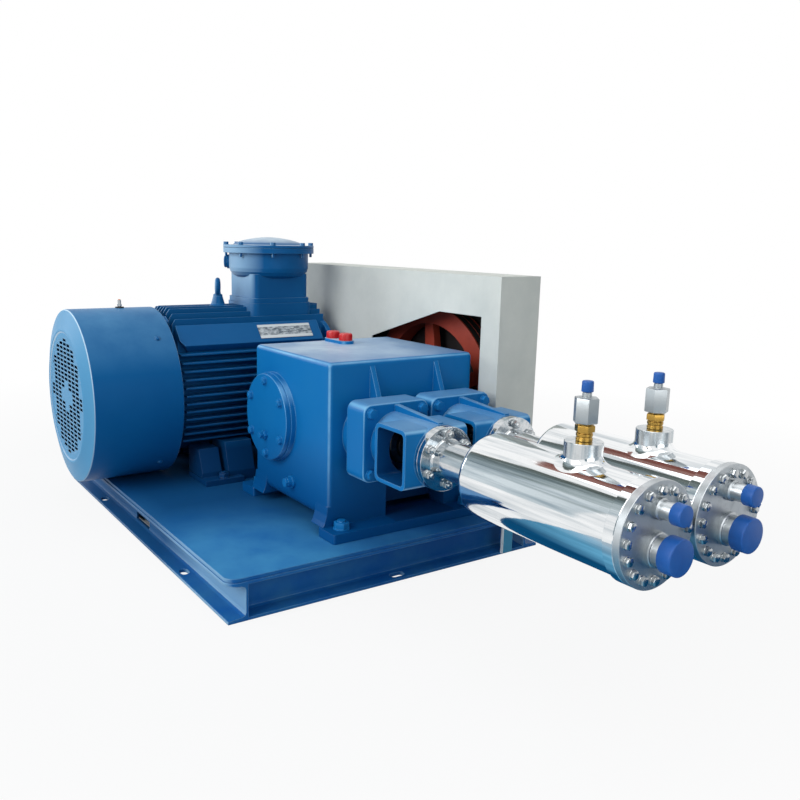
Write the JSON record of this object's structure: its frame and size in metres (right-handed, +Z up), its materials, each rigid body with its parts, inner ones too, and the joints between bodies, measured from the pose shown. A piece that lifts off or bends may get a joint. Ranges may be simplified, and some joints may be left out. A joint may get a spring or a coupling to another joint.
{
  "type": "reciprocating pump",
  "caption": "Belt-driven reciprocating pump skid with electric motor, crankcase and vacuum-jacketed horizontal cold ends.",
  "frame": {"origin": "centre of the skid's footprint, on the floor", "axes": "+X along the plungers towards the cold ends, +Y from the fan side towards the belt guard, +Z up"},
  "size_m": [1.814, 0.9005, 0.729],
  "materials": {
    "black_plastic": "moulded",
    "black_rubber": "matt",
    "blue_paint": "semi-gloss enamel",
    "blue_plastic": "moulded",
    "brass": "machined",
    "bright_steel": "machined",
    "copper_core": "laminated core and windings",
    "dark_steel": "machined",
    "deck_paint": "satin enamel",
    "frame_paint": "semi-gloss enamel",
    "guard_paint": "satin enamel",
    "iron": "as cast",
    "plate_metal": "satin",
    "polished_stainless": "mirror polish",
    "red_oxide": "matt primer",
    "red_plastic": "moulded"
  },
  "bodies": {
    "pump": {"bearing_cover_bolts": "blue_paint", "bearing_cover_drive": "blue_paint", "bearing_cover_fitting": "blue_paint", "bearing_cover_plain": "blue_paint", "belt_guard": "guard_paint", "blanking_plug": "frame_paint", "brass_fittings": "brass", "check_valves": "bright_steel", "cold_cylinder_1": "polished_stainless", "cold_cylinder_2": "polished_stainless", "crankcase": "blue_paint", "crankcase_bolts": "blue_paint", "deck_plate": "deck_paint", "discharge_caps": "blue_plastic", "distance_piece_1": "blue_paint", "distance_piece_2": "blue_paint", "distance_piece_bolts": "blue_paint", "drain_plug": "blue_paint", "end_cover_1": "polished_stainless", "end_cover_2": "polished_stainless", "end_cover_bolts": "bright_steel", "eye_bolt": "frame_paint", "fan_cover": "frame_paint", "fan_cover_screws": "frame_paint", "gas_return_caps": "blue_plastic", "grease_nipple": "bright_steel", "main_bearings": "bright_steel", "motor_bearings": "bright_steel", "motor_drive_end_shield": "frame_paint", "motor_fan_end_shield": "frame_paint", "motor_foot_bolts": "frame_paint", "motor_frame": "frame_paint", "motor_nameplate": "plate_metal", "motor_stator": "copper_core", "mount_flange_studs": "bright_steel", "oil_filler_caps": "red_plastic", "rod_seals": "black_rubber", "skid_frame": "deck_paint", "suction_caps": "blue_plastic", "terminal_box": "frame_paint", "terminal_box_lid": "frame_paint", "terminal_lid_bolts": "frame_paint", "v_belts": "black_rubber", "vacuum_jacket_1": "polished_stainless", "vacuum_jacket_2": "polished_stainless"},
    "crank": {"crankshaft": "bright_steel", "large_sheave": "red_oxide"},
    "rotor": {"motor_rotor": "bright_steel", "cooling_fan": "black_plastic", "motor_sheave": "iron"},
    "rod_1": {"connecting_rod_1": "dark_steel", "gudgeon_pin_1": "bright_steel"},
    "rod_2": {"connecting_rod_2": "dark_steel", "gudgeon_pin_2": "bright_steel"},
    "ram_1": {"crosshead_1": "dark_steel", "piston_rod_1": "polished_stainless"},
    "ram_2": {"crosshead_2": "dark_steel", "piston_rod_2": "polished_stainless"}
  },
  "joints": [
    {"name": "crank_spin", "type": "hinge", "parent": "pump", "child": "crank", "pos_m": [0.207, 0.075, 0.311], "axis": [0, 1, 0], "continuous": true},
    {"name": "motor_spin", "type": "hinge", "parent": "pump", "child": "rotor", "pos_m": [-0.2535, 0, 0.313], "axis": [0, 1, 0], "continuous": true},
    {"name": "rod_1_swing", "type": "hinge", "parent": "crank", "child": "rod_1", "pos_m": [0.227, -0.0125, 0.311], "axis": [0, 1, 0], "continuous": true},
    {"name": "rod_2_swing", "type": "hinge", "parent": "crank", "child": "rod_2", "pos_m": [0.187, 0.1625, 0.311], "axis": [0, 1, 0], "continuous": true},
    {"name": "ram_1_stroke", "type": "slide", "parent": "pump", "child": "ram_1", "axis": [1, 0, 0], "range_m": [-0.04, 0]},
    {"name": "ram_2_stroke", "type": "slide", "parent": "pump", "child": "ram_2", "axis": [1, 0, 0], "range_m": [0, 0.04]}
  ],
  "couplings": [
    {"joint": "motor_spin", "follows": "crank_spin", "ratio": 3.125},
    {"joint": "rod_1_swing", "follows": "crank_spin", "ratio": -1},
    {"joint": "rod_2_swing", "follows": "crank_spin", "ratio": -1}
  ]
}
